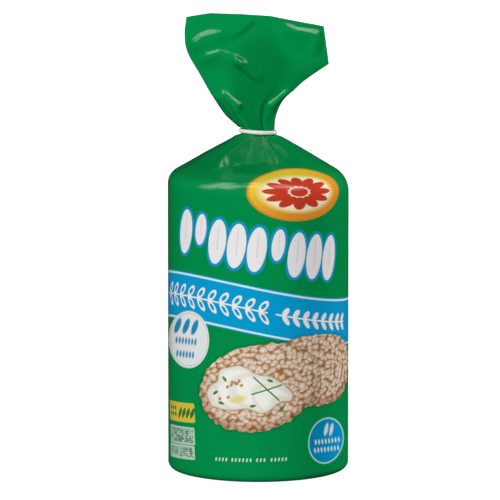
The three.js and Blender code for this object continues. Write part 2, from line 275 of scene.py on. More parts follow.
def place_on(line, share):
    points, shares = line
    return np.array([np.interp(share, shares, points[:, 0]), np.interp(share, shares, points[:, 1])])


def gusseted_section(reach, crease_depth):
    """How far across and how deep each column lies in a ring with tucked sides, each from -1 to 1."""
    from_front = np.abs(ANGLES)
    nearest = np.minimum(from_front, math.pi - from_front)
    across = nearest / CREASE_ANGLE
    depth = mix(1, crease_depth, across**2)
    panel = np.stack([np.sign(ANGLES) * across, np.where(from_front < math.pi / 2, -depth, depth)])
    round_side = (from_front - CREASE_ANGLE) / (math.pi - 2 * CREASE_ANGLE)
    tucked = 1 - np.abs(2 * round_side - 1)
    side = np.stack([np.sign(ANGLES) * (1 - reach * tucked), crease_depth * (2 * round_side - 1)])
    return np.where(nearest <= CREASE_ANGLE + 1e-9, panel, side)


def crease_height(x, z):
    """Height of the creases in a panel of the fan at (x, z)."""
    total = np.zeros_like(x)
    for points, height, rise, sink in CREASES:
        best = np.full_like(x, 1e9)
        side, along = np.ones_like(x), np.zeros_like(x)
        _, shares = measured(points)
        for i, (a, b) in enumerate(zip(points, points[1:])):
            run = np.subtract(b, a)
            t = np.clip(((x - a[0]) * run[0] + (z - a[1]) * run[1]) / (run @ run), 0, 1)
            dx, dz = x - a[0] - t * run[0], z - a[1] - t * run[1]
            away = np.hypot(dx, dz)
            nearer = away < best
            best = np.where(nearer, away, best)
            side = np.where(nearer, run[0] * dz - run[1] * dx, side)
            along = np.where(nearer, mix(shares[i], shares[i + 1], t), along)
        taper = smooth(np.minimum(along, 1 - along), 0, CREASE_TAPER)
        rising = np.sin(np.pi / 2 * np.clip(best / rise, 0, 1))
        total += np.where(side < 0, height * taper * rising * np.exp(-((best / sink) ** 2)), 0)
    return total


def fan_ring(share, inset=0.0, shrink=1.0):
    """A ring of the fan: share is 0 over the tie and 1 at the mouth.

    Inside the mouth, inset is the film's thickness, and shrink narrows the ring.
    """
    left, right = place_on(LEFT_LINE, share), place_on(RIGHT_LINE, share)
    half_width = math.dist(left, right) / 2 - 1.5 * inset
    middle, towards = (left + right) / 2, (right - left) / math.dist(left, right)
    half_depth = mix(NECK_HALF_DEPTH, MOUTH_HALF_DEPTH, smooth(share, 0, 0.7)) - inset
    reach = GUSSET_REACH * smooth(share, 0.05, 0.8) + 1.5 * inset / half_width
    flatness = smooth(share, 0, 0.55)
    across, deep = gusseted_section(reach, CREASE_HALF_DEPTH / half_depth)
    across, deep = mix(SIN, across, flatness), mix(-COS, deep, flatness)
    across = shrink * across / across.max()
    deep = shrink * deep
    x = middle[0] + across * half_width * towards[0]
    z = middle[1] + across * half_width * towards[1]
    lip = np.interp(across, *zip(*LIP_RISE)) - BACK_LIP_DROP * smooth(deep, -0.6, 0.8)
    z = z + share**3 * lip
    pleats = 0.3 * (FOLD - FOLD.max() + PLEAT - PLEAT.max())
    pleats = pleats * (1 - smooth(share, 0.08, 0.5)) * np.abs(COS)
    from_middle = np.minimum(np.abs(ANGLES), math.pi - np.abs(ANGLES)) / CREASE_ANGLE
    pressed = crease_height(np.where(deep < 0, x, -x), z)
    pressed = pressed * (1 - smooth(from_middle, 0.93, 1)) * smooth(share, 0.05, 0.2)
    y = FAN_LEAN * share**2 + deep * half_depth + np.sign(deep) * (shrink * pleats + pressed)
    return tilt(np.stack([x, y, z], 1))


def fan_rings():
    """The fan's rings up to the mouth and over its lip, and those down inside it."""
    below, above, lip, inside = 104, 20, 3, 26
    shares = [CORNER_SHARE * (i / below) ** 1.2 for i in range(below)]
    shares += [mix(CORNER_SHARE, 1, i / above) for i in range(above + 1)]
    rings = [fan_ring(share) for share in shares]
    for i in range(1, lip):
        a = i / lip * math.pi / 2
        lift = [0, 0, 0.4 * FILM_THICKNESS * math.sin(2 * a)]
        rings.append(fan_ring(1, FILM_THICKNESS * (1 - math.cos(a))) + lift)
    inner = []
    for i in range(inside + 1):
        down = i / inside
        inset, shrink = FILM_THICKNESS * (1 + 2 * down), mix(1, 0.15, down**2)
        inner.append(fan_ring(mix(1, THROAT_SHARE, down), inset, shrink))
    return rings, inner


# ---- meshes ----
def closed_rings_mesh(name, rings, places, inner_from):
    """A closed mesh over rings of equal length, its two ends closed round their middle points.

    The map "Film" gives each corner's place on the film lying flat, in metres: round from the
    front, and up from the base. Faces from ring inner_from on are the film's reverse.
    """
    count, total = len(rings[0]), len(rings)
    points = np.vstack([rings[0].mean(0), *rings, rings[-1].mean(0)])

    def at(ring, column):
        return 1 + ring * count + column % count

    round_film = BODY_RADIUS * np.append(ANGLES, math.pi)
    up_film = [np.append(place, place[0]) for place in places]
    faces, film, inner = [], [], []
    for c in range(count):
        u0, u1 = round_film[c], round_film[c + 1]
        faces.append((0, at(0, c + 1), at(0, c)))
        film.append([(u0, up_film[0][c] - 2), (u1, up_film[0][c + 1]), (u0, up_film[0][c])])
        inner.append(0)
        for r in range(total - 1):
            corners = ((r, c, u0), (r, c + 1, u1), (r + 1, c + 1, u1), (r + 1, c, u0))
            faces.append([at(ring, column) for ring, column, _ in corners])
            film.append([(u, up_film[ring][column]) for ring, column, u in corners])
            inner.append(int(r >= inner_from))
        faces.append((len(points) - 1, at(total - 1, c), at(total - 1, c + 1)))
        film.append([(u0, up_film[-1][c] + 2), (u0, up_film[-1][c]), (u1, up_film[-1][c + 1])])
        inner.append(1)
    mesh = bpy.data.meshes.new(name)
    mesh.from_pydata((points * MM).tolist(), [], faces)
    film = np.array([corner for face in film for corner in face])
    mesh.uv_layers.new(name="Film").data.foreach_set("uv", film.ravel() * MM)
    low, high = film.min(0), film.max(0)
    spread = mix(0.003, 0.997, (film - low) / (high - low))
    mesh.uv_layers.new(name="OFBake").data.foreach_set("uv", spread.ravel())
    mesh.polygons.foreach_set("material_index", inner)
    mesh.polygons.foreach_set("use_smooth", [True] * len(faces))
    mesh.update()
    return mesh


def film_mesh():
    rings, places = body_rings()
    rings += [waist_ring(TIE_HEIGHT + lift) for lift in (-WAIST_HALF_HEIGHT, 0, WAIST_HALF_HEIGHT)]
    outer, inner = fan_rings()
    rings += outer
    inner_from = len(rings) - 1
    rings += inner
    while len(places) < len(rings):
        step = rings[len(places)] - rings[len(places) - 1]
        places.append(places[-1] + np.linalg.norm(step, axis=1).mean())
    return closed_rings_mesh("printed_film", rings, places, inner_from)


def add_piece(name, mesh):
    piece = bpy.data.objects.new(name, mesh)
    bpy.context.scene.collection.objects.link(piece)
    return piece


film = add_piece("printed_film", film_mesh())

# ---- nodes ----
def adder(tree):
    """The function that adds nodes to a tree."""
    def add(kind, inputs=(), out=0, **settings):
        """Adds a node, sets or links its inputs by place or name, and gives back one of its outputs.

        A kind that doesn't start with GeometryNode is a ShaderNode, and an operation may follow it. A
        list links several to one input, and a text is a colour's sRGB code.
        """
        kind, _, operation = kind.partition(" ")
        made = tree.nodes.new(kind if kind.startswith("GeometryNode") else "ShaderNode" + kind)
        if operation:
            made.operation = operation
        for name, value in settings.items():
            setattr(made, name, value)
        for key, value in inputs.items() if isinstance(inputs, dict) else enumerate(inputs):
            for part in value if isinstance(value, list) else [value]:
                if isinstance(part, bpy.types.NodeSocket):
                    tree.links.new(part, made.inputs[key])
                elif part is not None:
                    made.inputs[key].default_value = srgb(part) if isinstance(part, str) else part
        return made.outputs[out]

    return add


# ---- the print: fields of ink and simple shapes, placed in millimetres on the flat film ----
BAND_BLUE = "03a0d6"
OUTLINE_BLUE = "1496c8"
PALE_LINE = "d8f2f6"
WHITE = "f2f0f0"
PETAL_RED = "cf4028"
# The tint of the painted shade over the shoulder and the fan.
PAINTED_SHADE_TINT = (0.6, 0.62, 0.55, 1)
BAND_TOP, BAND_WIDTH, SPRIG_RISE = 102.5, 24.6, 0.3
# Seen a little from above, a level ring's front lies this share of its radius lower than its sides.
FRONT_DROP = 0.1516
FAR_OFF = 1000.0
# Each pictured cake's centre, half size and turn, and how far its grains are shifted.
BACK_CAKE = ((36.0, 61.0), (36.2, 19.6), -3.0, 40.0)
FRONT_CAKE = ((0.3, 53.2), (35.2, 23.6), 13.6, 0.0)


def placed(add, film, middle, turn=0.0, size=(1, 1)):
    """The place in a shape's own frame: from its middle, turned with it, in its own size."""
    rotation = (0, 0, math.radians(turn))
    return add("Mapping", [film, (*middle, 0), rotation, (*size, 1)], vector_type="TEXTURE")


def how_far(add, across, along):
    """How far a place is from the middle."""
    place = add("CombineXYZ", [across, along])
    return add("VectorMath LENGTH", [place], out=1)


def from_oval(add, film, centre, half, turn=0.0, even=False):
    """Millimetres outside an oval's edge, under 0 inside it, and the place in it, from -1 to 1.

    The distance holds across the oval's short way, or evenly all round where even is set.
    """
    place = placed(add, film, centre, turn, half)
    size = add("VectorMath LENGTH", [place], out=1)
    if not even:
        return add("Math MULTIPLY_ADD", [size, min(half), -min(half)]), place
    steepness = add("VectorMath DIVIDE", [place, (*half, 1)])
    steepness = add("VectorMath LENGTH", [steepness], out=1)
    outside = add("Math ADD", [size, -1])
    outside = add("Math MULTIPLY", [outside, size])
    return add("Math DIVIDE", [outside, steepness]), place


def seen_from_front(add, u, v):
    """The place on the wall as it is seen from the front: across, and how high in the middle's plane.

    A third number is 0 in front and large behind, which keeps the back clear.
    """
    turn = add("Math MULTIPLY", [u, 1 / BODY_RADIUS])
    across = add("Math SINE", [turn])
    across = add("Math MULTIPLY", [across, BODY_RADIUS])
    nearness = add("Math COSINE", [turn])
    height = add("Math MULTIPLY_ADD", [nearness, -FRONT_DROP * BODY_RADIUS, v])
    behind = add("Math MULTIPLY", [nearness, -FAR_OFF])
    behind = add("Math MAXIMUM", [behind, 0.0])
    return add("CombineXYZ", [across, height, behind])


def from_bar(add, film, start, end, radius):
    """Millimetres outside a bar with round ends."""
    run = np.subtract(end, start)
    offset = add("VectorMath SUBTRACT", [film, (*start, 0)])
    along = add("VectorMath DOT_PRODUCT", [offset, (*(run / (run @ run)), 0)], out=1)
    along = add("Clamp", [along])
    nearest = add("VectorMath SCALE", {0: (*run, 0), "Scale": along})
    away = add("VectorMath DISTANCE", [offset, nearest], out=1)
    return add("Math SUBTRACT", [away, radius])


def from_panel(add, film, centre, half, turn, corner):
    """Millimetres outside a rectangle with rounded corners."""
    place = placed(add, film, centre, turn)
    place = add("VectorMath ABSOLUTE", [place])
    place = add("VectorMath SUBTRACT", [place, (half[0] - corner, half[1] - corner, 0)])
    place = add("VectorMath MAXIMUM", [place, (0, 0, 0)])
    size = add("VectorMath LENGTH", [place], out=1)
    return add("Math SUBTRACT", [size, corner])


def nearest_of(add, distances, melt=None):
    """The least of some distances. Their shapes melt together over melt millimetres, if it's given."""
    best = distances[0]
    for distance in distances[1:]:
        best = add("Math SMOOTH_MIN" if melt else "Math MINIMUM", [best, distance, melt])
    return best


def graded(add, value, low, high, start, end, most=1.0, way="MIX"):
    """The start colour, changed by up to most with the end one as a value runs from low to high."""
    share = add("MapRange", [value, low, high, 0.0, most])
    return add("Mix", {0: share, 6: start, 7: end}, out=2, data_type="RGBA", blend_type=way)


def lay(add, below, ink, distance, grow=0.0, soft=0.1):
    """Lays an ink over the colour below, wherever distance is under grow millimetres."""
    return graded(add, distance, grow + soft, grow - soft, below, ink)


def lay_marks(add, colour, ink, marks, edge):
    """Lays small marks, none of them past the edge of what they lie on."""
    marks = add("Math MAXIMUM", [nearest_of(add, marks), edge])
    return lay(add, colour, ink, marks, 0.0, 0.2)


def repeated(add, film, start, pitch, count, turn=0.0):
    """The place in the nearest of a row of equal cells, from its middle in millimetres, and its number.

    Past the ends it runs on from the last cell.
    """
    place = placed(add, film, start, turn)
    parts = add("SeparateXYZ", [place]).node.outputs
    cell = add("Math MULTIPLY", [parts[0], 1 / pitch])
    cell = add("Math ROUND", [cell])
    cell = add("Clamp", [cell, 0, count - 1])
    across = add("Math MULTIPLY_ADD", [cell, -pitch, parts[0]])
    return add("CombineXYZ", [across, parts[1]]), cell


def from_row(add, film, start, count, pitch, turn, half, lean=0.0):
    """Millimetres outside the nearest of a row of equal ovals."""
    place, _ = repeated(add, film, start, pitch, count, turn)
    return from_oval(add, place, (0, 0), half, lean)[0]


def folded_round(add, place, count):
    """How far a place is from the nearest of count equal spokes, and how far out it is."""
    parts = add("SeparateXYZ", [place]).node.outputs
    bearing = add("Math ARCTAN2", [parts[1], parts[0]])
    out = add("VectorMath LENGTH", [place], out=1)
    turns = add("Math MULTIPLY", [bearing, count / (2 * math.pi)])
    turns = add("Math PINGPONG", [turns, 0.5])
    turns = add("Math MULTIPLY", [turns, 2 * math.pi / count])
    return add("Math MULTIPLY", [turns, out]), out


def wandering(add, film, scale, reach, shift=0.0):
    """The film's places, each moved up to reach millimetres by a smooth noise."""
    ways = [add("TexNoise", [film, w, scale, 1.0], noise_dimensions="4D") for w in (0.0, 7.0)]
    way = add("CombineXYZ", ways)
    back = (shift - reach, shift - reach, 0)
    way = add("VectorMath MULTIPLY_ADD", [way, (2 * reach, 2 * reach, 0), back])
    return add("VectorMath ADD", [way, film])


def clouded(add, place, scale, detail, one, other, **settings):
    """A colour that wanders between two by a soft noise, and that noise."""
    cloud = add("TexNoise", {"Vector": place, "Scale": scale, "Detail": detail}, **settings)
    return add("Mix", {0: cloud, 6: one, 7: other}, out=2, data_type="RGBA"), cloud


def band_edge(add, around):
    """Height of the band's upper edge, in two long waves, at an angle round the bag in radians."""
    height = BAND_TOP
    for times, size, early in ((1, 9.12, 52.2), (2, 1.62, 101.5)):
        phase = add("Math MULTIPLY_ADD", [around, times, math.radians(early)])
        wave = add("Math COSINE", [phase])
        height = add("Math MULTIPLY_ADD", [wave, size, height])
    return height


def lay_band(add, colour, u, v):
    """A blue band with fine pale lines, and two sprigs along it, the left one with thin open leaves."""
    around = add("Math MULTIPLY", [u, 1 / BODY_RADIUS])
    over = add("Math SUBTRACT", [v, band_edge(add, around)])
    middle = add("Math ADD", [over, BAND_WIDTH / 2])
    outside = add("Math ABSOLUTE", [middle])
    outside = add("Math SUBTRACT", [outside, BAND_WIDTH / 2])
    for ink, grow in ((OUTLINE_BLUE, 1.3), (PALE_LINE, 0.55), (BAND_BLUE, -0.55)):
        colour = lay(add, colour, ink, outside, grow)
    over_stem = add("Math ADD", [middle, -SPRIG_RISE])
    band = add("CombineXYZ", [u, over_stem])
    sprigs = ((-64, 10, 7.4, (1.8, 4.0), 0.42), (15, 8, 6.2, (1.4, 2.9), 0))
    for start, count, pitch, leaf, line in sprigs:
        place, _ = repeated(add, band, (start, 0), pitch, count)
        parts = add("SeparateXYZ", [place]).node.outputs
        aside = add("Math ABSOLUTE", [parts[1]])
        place = add("CombineXYZ", [parts[0], aside])
        edge, _ = from_oval(add, place, (0.4, 0.8 * leaf[1]), leaf, -38)
        if line:
            edge = add("Math ADD", [edge, line])
            edge = add("Math ABSOLUTE", [edge])
        colour = lay(add, colour, WHITE, edge, line)
        stem = from_bar(add, band, (start - 5, 0), (start + (count - 0.7) * pitch, 0), 0.42)
        colour = lay(add, colour, WHITE, stem)
    return colour


def lay_big_seeds(add, colour, u, v):
    """A row of large white grains outlined in blue, leaning, stepping down to the right, some short."""
    pitch, drop, lean, height = 11.3, 0.16, 0.15, 129.6
    every, shortening, rise = 4.0, 0.42, 4.2
    down = add("Math MULTIPLY_ADD", [u, drop, -height])
    up = add("Math ADD", [v, down])
    along = add("Math MULTIPLY_ADD", [up, -lean, u])
    row = add("CombineXYZ", [along, up])
    place, cell = repeated(add, row, (-46, 0), pitch, 9)
    cell = add("Math MODULO", [cell, every])
    short = add("Math COMPARE", [cell, 1.0, 0.5])
    raised = add("Math MULTIPLY", [short, -rise])
    raised = add("CombineXYZ", {1: raised})
    place = add("VectorMath ADD", [place, raised])
    grown_size = add("Math MULTIPLY_ADD", [short, shortening, 1.0])
    place = add("VectorMath SCALE", {0: place, "Scale": grown_size})
    body, _ = from_oval(add, place, (0, 0), (5.2, 12.6), even=True)
    grain = add("Math DIVIDE", [body, grown_size])
    colour = lay(add, colour, OUTLINE_BLUE, grain, 1.6)
    colour = lay(add, colour, WHITE, grain)
    groove = from_bar(add, place, (0.6, -4.5), (-0.2, 8.6), 0.28)
    return lay(add, colour, "d9d6d2", groove, 0.0, 0.25)


def lay_gold_badge(add, colour, film):
    """An oval in yellow and orange, with red petals round a small red middle on cream."""
    edge, place = from_oval(add, film, (24.5, 161.8), (31.2, 17.1))
    down = add("VectorMath DOT_PRODUCT", [place, (0.45, -0.65, 0)], out=1)
    gold = graded(add, down, -0.5, 0.35, "f2cf3a", "e8962a")
    middle, turn = (23.8, 160.8), -3
    glow, _ = from_oval(add, film, middle, (23.4, 11.2), turn)
    gold = lay(add, gold, "fbeeae", glow, 0.0, 1.3)
    colour = lay(add, colour, "d98a24", edge, 0.0, 0.15)
    colour = lay(add, colour, gold, edge, -0.7, 0.5)
    colour = lay(add, colour, "fbf3da", glow, -1.2, 0.4)
    # Each petal is an oval in the distance out and the distance from the nearest spoke.
    petals, petal_middle, half_length, half_width = 12, 0.63, 0.34, 0.175
    _, place = from_oval(add, film, middle, (22.6, 10.2), turn)
    spoke, out = folded_round(add, place, petals)
    out = add("Math MULTIPLY_ADD", [out, 1 / half_length, -petal_middle / half_length])
    spoke = add("Math MULTIPLY", [spoke, 1 / half_width])
    petal = add("Math MULTIPLY_ADD", [how_far(add, out, spoke), 1.6, -1.6])
    heart, _ = from_oval(add, film, middle, (5.6, 2.6), turn)
    for shape in (petal, heart):
        colour = lay(add, colour, PETAL_RED, shape)
    return colour


def lay_white_disc(add, colour, seen):
    """A white disc inside a dotted ring, with three blue seeds over two rows of small ones."""
    edge, place = from_oval(add, seen, (-38.3, 72.2), (11.3, 15.9))
    colour = lay(add, colour, "eaeceb", edge, 0.0, 0.2)
    spoke, out = folded_round(add, place, 76)
    off = add("Math ADD", [out, -0.92])
    dot = add("Math MULTIPLY", [how_far(add, spoke, off), 14])
    colour = lay(add, colour, "7fa9bb", dot, 0.25)
    seeds = ((-44.3, 79.9), (-39.6, 79.6), (-34.9, 79))
    rows = (((-45.0, 71.9), 7), ((-44.6, 64.4), 6))
    marks = [from_oval(add, seen, at, (1.5, 4.5), -20)[0] for at in seeds]
    marks += [from_row(add, seen, start, count, 1.75, -6, (0.6, 1.9)) for start, count in rows]
    return lay_marks(add, colour, "1f90c0", marks, edge)


def lay_blue_disc(add, colour, seen):
    """A blue disc with a pale rim, with two tall seeds over two rows of small ones."""
    edge, place = from_oval(add, seen, (37.4, 15.8), (9.75, 12.9), -11)
    across = add("SeparateXYZ", [place])
    ink = graded(add, across, -0.8, 0.8, "008ab4", "009bd6")
    colour = lay(add, colour, "a9e6e4", edge, 0.1, 0.2)
    colour = lay(add, colour, ink, edge, -0.5, 0.2)
    marks = [from_oval(add, seen, at, (1.0, 3.5), -12)[0] for at in ((37.4, 22.1), (40.3, 21.9))]
    starts = ((31.6, 15.0), (31.2, 10.4))
    marks += [from_row(add, seen, start, 8, 1.85, 5, (0.5, 1.35)) for start in starts]
    return lay_marks(add, colour, "cfe9f0", marks, edge)


def lay_labels(add, colour, film):
    """A yellow label with green bars, over a pale block of fine dots in two parts."""
    edge = from_panel(add, film, (-53.2, 35.4), (14.5, 5.4), 4.3, 1.2)
    colour = lay(add, colour, "dcc443", edge)
    bars = from_row(add, film, (-51.8, 35.3), 4, 3.7, 4.3, (1.3, 3.7), -36)
    place, _ = repeated(add, film, (-64.2, 34.9), 3.4, 3, 4.3)
    place = add("VectorMath ABSOLUTE", [place])
    small, _ = from_oval(add, place, (0, 1.7), (1.1, 1.1))
    colour = lay(add, colour, "2f7d3c", nearest_of(add, [bars, small]))
    halves = ((22.6, 4.9), (13.4, 3.9))  # each part's middle height, and half its own
    block = [from_panel(add, film, (-52.3, v), (13.6, half), 4.0, 0.9) for v, half in halves]
    inner = [from_panel(add, film, (-52.3, v), (12.2, half - 1.2), 4.0, 0.3) for v, half in halves]
    colour = lay(add, colour, "b4d8c0", nearest_of(add, block))
    place = placed(add, film, (0, 0), 4, (1.25, 1.25))
    parts = add("SeparateXYZ", [place]).node.outputs
    dot = how_far(add, *(add("Math PINGPONG", [part, 0.5]) for part in parts[:2]))
    whole = add("VectorMath FLOOR", [place])
    chance = add("TexWhiteNoise", [whole], noise_dimensions="2D")
    dot = add("Math MULTIPLY_ADD", [chance, -0.5, dot])
    dot = add("Math MAXIMUM", [dot, nearest_of(add, inner)])
    return lay(add, colour, "4d6f57", dot, 0.1, 0.15)


def puffed_cake_ink(add, film, shift):
    """A puffed cake: pale swollen grains, lit from the upper left, with toasted gaps between them."""
    place = wandering(add, film, 0.3, 1.6, shift)
    place = add("VectorMath MULTIPLY", [place, (0.31, 0.4, 1)])
    grain = add("TexVoronoi", {"Vector": place, "Scale": 1.0}, voronoi_dimensions="2D").node
    spots = {"Vector": place, "Scale": 0.7, "Detail": 4.0, "Roughness": 0.72}
    toast = add("TexNoise", spots, noise_dimensions="2D")
    toast = add("Math ADD", [toast, grain.outputs["Distance"]])
    from_centre = add("VectorMath SUBTRACT", [place, grain.outputs["Position"]])
    depth = add("VectorMath DOT_PRODUCT", [from_centre, (0.22, -0.30, 0)], out=1)
    depth = add("Math ADD", [toast, depth])
    depth = add("Math SUBTRACT", [depth, 0.22])
    ramp = add("ValToRGB", [depth]).node
    stops = ((0.3, "efe0d3"), (0.6, "dcc4ae"), (0.84, "c7a17c"), (1.0, "a2703f"))
    for i, (at, code) in enumerate(stops):
        stop = ramp.color_ramp.elements[i] if i < 2 else ramp.color_ramp.elements.new(at)
        stop.position, stop.color = at, srgb(code)
    return ramp.outputs[0]


def lay_cakes(add, colour, film):
    """Two puffed cakes, the nearer one casting a soft shadow over the other, each with a darker side."""
    cells = {"Vector": film, "Scale": 0.27}
    rough = add("TexVoronoi", cells, voronoi_dimensions="2D", feature="SMOOTH_F1")
    bumps = add("Math MULTIPLY_ADD", [rough, 1.9, -0.9])
    for (x, y), half, turn, shift in (BACK_CAKE, FRONT_CAKE):
        edge, _ = from_oval(add, film, (x, y), half, turn)
        edge = add("Math ADD", [edge, bumps])
        top, _ = from_oval(add, film, (x + 1.0, y + 2.6), (half[0] - 1.2, half[1] - 1.8), turn)
        top = add("Math ADD", [top, bumps])
        ink = puffed_cake_ink(add, film, shift)
        ink = graded(add, top, -0.4, 1.0, ink, "b98352", 0.5, "MULTIPLY")
        colour = graded(add, edge, 1.6, -0.4, colour, "5f4a34", 0.45, "MULTIPLY")
        colour = lay(add, colour, ink, edge, 0.0, 0.2)
    return colour


def lay_cream(add, colour, film):
    """A spoonful of cream with soft spoon marks, chives and toasted crumbs."""
    place = wandering(add, film, 0.07, 4.5)
    lobes = (
        ((-15.5, 48.6), (14.8, 9), 8), ((-12, 57), (9.5, 9), 0), ((-1.5, 50), (14.5, 10.6), 0),
        ((9.5, 50.8), (9.8, 5.2), -16),
    )
    edge = nearest_of(add, [from_oval(add, place, *lobe)[0] for lobe in lobes], melt=4.0)
    cream = graded(add, edge, -4.0, 0.3, "f8f7f0", "e2dccd")
    marks, _ = from_oval(add, place, (12, 45), (13, 6), -20)
    marks = add("Math MULTIPLY", [marks, 1.15])
    marks = add("Math SINE", [marks])
    cream = graded(add, marks, 0.1, 1.0, cream, "e0dccf", 0.6)
    colour = lay(add, colour, "b08a63", edge, 0.5, 0.6)
    colour = lay(add, colour, cream, edge, 0.0, 0.3)
    oil, _ = from_oval(add, film, (-11.5, 46.5), (4.6, 1.9), 14)
    colour = lay(add, colour, "e9dd84", oil, 0.0, 0.8)
    leaves = (
        ((-24.5, 49.5), 35), ((-19.0, 57.5), -50), ((-3.0, 43.0), 10), ((6.5, 57.0), -20),
        ((-21.0, 44.0), -15), ((13.0, 41.2), 40),
    )
    stems = (((-2.5, 59.0), (11.5, 46.0)), ((-3.5, 49.5), (13.0, 54.5)))
    chives = [from_oval(add, film, at, (1.8, 0.8), turn)[0] for at, turn in leaves]
    chives += [from_bar(add, film, start, end, 0.42) for start, end in stems]
    colour = lay(add, colour, "4c8a3e", nearest_of(add, chives))
    rows = (((-17.2, 53.2), 4, 2.5, 28), ((-14.4, 56.0), 3, 2.7, -18), ((-21.8, 46.4), 2, 5.2, 12))
    crumbs = [from_row(add, film, *row, (1.05, 0.8), 35) for row in rows]
    return lay(add, colour, "c08a55", nearest_of(add, crumbs))


def lay_small_row(add, colour, film):
    """A row of tiny white dashes near the base."""
    rows = []
    for start, count in (((-24.2, 12.6), 4), ((-14.6, 12.7), 6), ((-0.8, 12.9), 3), ((7.2, 13.0), 5)):
        place, _ = repeated(add, film, start, 2.05, count, 0.7)
        rows.append(from_bar(add, place, (0, -0.6), (0.25, 0.6), 0.42))
    return lay(add, colour, "cfe3d4", nearest_of(add, rows))


def film_print(add):
    """The printed colour at each place on the film, with painted shade over the shoulder and the fan,
    and painted light up the fan.
    """
    film = add("UVMap", uv_map="Film")
    film = add("VectorMath SCALE", {0: film, "Scale": 1 / MM})
    parts = add("SeparateXYZ", [film]).node.outputs
    u, v = parts[0], parts[1]
    seen = seen_from_front(add, u, v)
    colour, _ = clouded(add, film, 0.05, 2.0, "008c47", "00934d", noise_dimensions="2D")
    colour = lay_band(add, colour, u, v)
    colour = lay_big_seeds(add, colour, u, v)
    layers = (
        (lay_gold_badge, film), (lay_white_disc, seen), (lay_labels, film), (lay_cakes, film),
        (lay_cream, film), (lay_blue_disc, seen), (lay_small_row, film),
    )
    for layer, place in layers:
        colour = layer(add, colour, place)
    # Painted shade: the film's colour is darkened over the shoulder and up the fan, most in an oval over
    # the middle of the fan's front.
    over = add("MapRange", [v, 160.0, 182.0, 0.0, 0.5], interpolation_type="SMOOTHSTEP")
    painted_shade_oval, _ = from_oval(add, film, (2, 236), (24, 40))
    painted_shade_oval = add("MapRange", [painted_shade_oval, 10.0, -8.0], interpolation_type="SMOOTHSTEP")
    painted_shade = add("Math MAXIMUM", [over, painted_shade_oval])
    # Painted light: the colour is brightened up the fan, up to 1.3 times at its top, as if light came
    # through the open fan.
    through = add("MapRange", [v, 200.0, 235.0, 1.0, 1.3])
    colour = add("VectorMath SCALE", {0: colour, "Scale": through})
    mixed = {0: painted_shade, 6: colour, 7: PAINTED_SHADE_TINT}
    return add("Mix", mixed, out=2, data_type="RGBA", blend_type="MULTIPLY")


# ---- materials ----
def new_material(name, **values):
    """A material with one principled shader, and that shader."""
    material = bpy.data.materials.new(name)
    material.use_nodes = True
    shader = next(n for n in material.node_tree.nodes if n.type == "BSDF_PRINCIPLED")
    for socket, value in values.items():
        shader.inputs[socket.replace("_", " ")].default_value = value
    return material, shader


def feed(shader, **values):
    """Links values to a shader's inputs."""
    for socket, value in values.items():
        shader.id_data.links.new(value, shader.inputs[socket.replace("_", " ")])


def clouded_material(name, roughness, ior, scale, detail, one, other, uneven=0.0):
    """A material whose colour wanders between two, with a skin uneven by some metres."""
    material, shader = new_material(name, Roughness=roughness, IOR=ior)
    add = adder(material.node_tree)
    colour, cloud = clouded(add, add("TexCoord", out=3), scale, detail, one, other)
    feed(shader, Base_Color=colour)
    if uneven:
        feed(shader, Normal=add("Bump", {"Strength": 0.3, "Distance": uneven, "Height": cloud}))
    return material


def printed_film():
    """Polypropylene film, printed and lacquered: deep ink under a soft gloss, with a faint ripple."""
    material, shader = new_material("printed polypropylene film", Roughness=0.3, IOR=1.49)
    add = adder(material.node_tree)
    place = add("TexCoord", out=3)
    ripple = add("TexNoise", {"Vector": place, "Scale": 160.0, "Detail": 2.0})
    bump = add("Bump", {"Strength": 0.25, "Distance": 0.00015, "Height": ripple})
    blur = add("TexNoise", {"Vector": place, "Scale": 45.0, "Detail": 3.0})
    blur = add("MapRange", {"Value": blur, "To Min": 0.13, "To Max": 0.19})
    feed(shader, Base_Color=film_print(add), Normal=bump, Roughness=blur)
    return material


film.data.materials.append(printed_film())
# The unprinted reverse: the ink shows through it, a little duller.
film.data.materials.append(clouded_material("film reverse", 0.45, 1.49, 90.0, 3.0, "007f41", "068a4b"))
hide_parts("bag")
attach(film, "root")

# ---- the tie and the back seal ----
TIE_CLEARANCE, TIE_HALF_THICKNESS, TIE_HALF_HEIGHT = 0.35, 0.75, 1.1
TIE_RADIUS = NECK_RADIUS + TIE_CLEARANCE + TIE_HALF_THICKNESS
TWIST_LENGTH, TWIST_TURNS, TWIST_DROOP = 11.0, 2.5, math.radians(8)


def grown(name, shape, material, values):
    """A piece grown by a geometry node tree, whose inputs have the names and values given.

    A shape adds its nodes to the tree. The tree ends in real geometry that wears the material.
    """
    tree = bpy.data.node_groups.new(name, "GeometryNodeTree")
    for label, value in values.items():
        kind = "NodeSocketFloat" if isinstance(value, float) else "NodeSocketObject"
        tree.interface.new_socket(label, in_out="INPUT", socket_type=kind)
    tree.interface.new_socket("Geometry", in_out="OUTPUT", socket_type="NodeSocketGeometry")
    add = adder(tree)
    geometry = shape(add, tree.nodes.new("NodeGroupInput").outputs)
    geometry = add("GeometryNodeRealizeInstances", [geometry])
    geometry = add("GeometryNodeSetMaterial", {"Geometry": geometry, "Material": material})
    tree.links.new(geometry, tree.nodes.new("NodeGroupOutput").inputs[0])

    maker = add_piece(name + "_maker", bpy.data.meshes.new(name + "_start"))
    modifier = maker.modifiers.new(tree.name, "NODES")
    modifier.node_group = tree
    for item in tree.interface.items_tree:
        if item.in_out == "INPUT":
            modifier[item.identifier] = values[item.name]
    maker.update_tag()
    mesh = bpy.data.meshes.new_from_object(maker.evaluated_get(bpy.context.evaluated_depsgraph_get()))
    mesh.name = name
    maker.modifiers.remove(modifier)
    bpy.data.objects.remove(maker)
    return add_piece(name, mesh)


